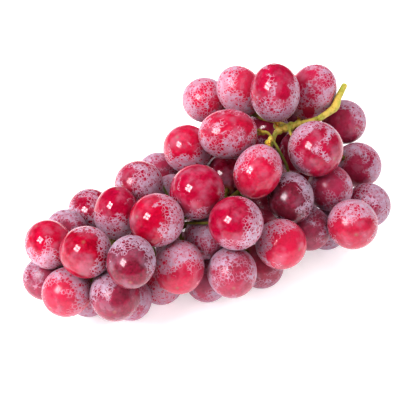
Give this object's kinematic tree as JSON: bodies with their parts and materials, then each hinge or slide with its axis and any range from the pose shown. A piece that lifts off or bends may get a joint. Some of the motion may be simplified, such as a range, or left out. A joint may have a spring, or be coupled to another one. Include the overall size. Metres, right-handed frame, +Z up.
{
  "type": "bunch of grapes",
  "caption": "Bunch of red table grapes lying on its side: plump bloomed berries on short stalks along one branched green stem with a cut end.",
  "frame": {"origin": "on the table, under the middle of the bunch's bounding box", "axes": "+X runs along the bunch from its tip to its cut stem, +Z up, the table is z = 0"},
  "size_m": [0.2036, 0.1278, 0.0908],
  "materials": {
    "ruby_skin": "glossy translucent red grape skin with pale waxy bloom",
    "wine_skin": "crimson to purple grape skin with pale waxy bloom",
    "dusk_skin": "dark purple grape skin with pale waxy bloom",
    "green_stem": "yellow-green stem with brown knobs and specks"
  },
  "bodies": {
    "root": {"grape_01": "ruby_skin", "grape_02": "ruby_skin", "grape_03": "wine_skin", "grape_04": "wine_skin", "grape_05": "ruby_skin", "grape_06": "dusk_skin", "grape_07": "wine_skin", "grape_08": "dusk_skin", "grape_09": "ruby_skin", "grape_10": "ruby_skin", "grape_11": "dusk_skin", "grape_12": "wine_skin", "grape_13": "dusk_skin", "grape_14": "wine_skin", "grape_15": "dusk_skin", "grape_16": "wine_skin", "grape_17": "wine_skin", "grape_18": "dusk_skin", "grape_19": "ruby_skin", "grape_20": "ruby_skin", "grape_21": "ruby_skin", "grape_22": "dusk_skin", "grape_23": "dusk_skin", "grape_24": "wine_skin", "grape_25": "dusk_skin", "grape_26": "dusk_skin", "grape_27": "ruby_skin", "grape_28": "wine_skin", "grape_29": "ruby_skin", "grape_30": "dusk_skin", "grape_31": "dusk_skin", "grape_32": "ruby_skin", "grape_33": "dusk_skin", "grape_34": "dusk_skin", "grape_35": "dusk_skin", "grape_36": "wine_skin", "grape_37": "dusk_skin", "grape_38": "ruby_skin", "grape_39": "dusk_skin", "grape_40": "dusk_skin", "grape_41": "dusk_skin", "grape_42": "ruby_skin", "grape_43": "dusk_skin", "grape_44": "dusk_skin", "grape_45": "dusk_skin", "grape_46": "dusk_skin", "grape_47": "wine_skin", "grape_48": "dusk_skin", "grape_49": "ruby_skin", "grape_50": "wine_skin", "grape_51": "dusk_skin", "grape_52": "ruby_skin", "grape_53": "wine_skin", "grape_54": "wine_skin", "grape_55": "dusk_skin", "grape_56": "ruby_skin", "grape_57": "wine_skin", "grape_58": "dusk_skin", "grape_59": "wine_skin", "stem": "green_stem"}
  },
  "joints": []
}
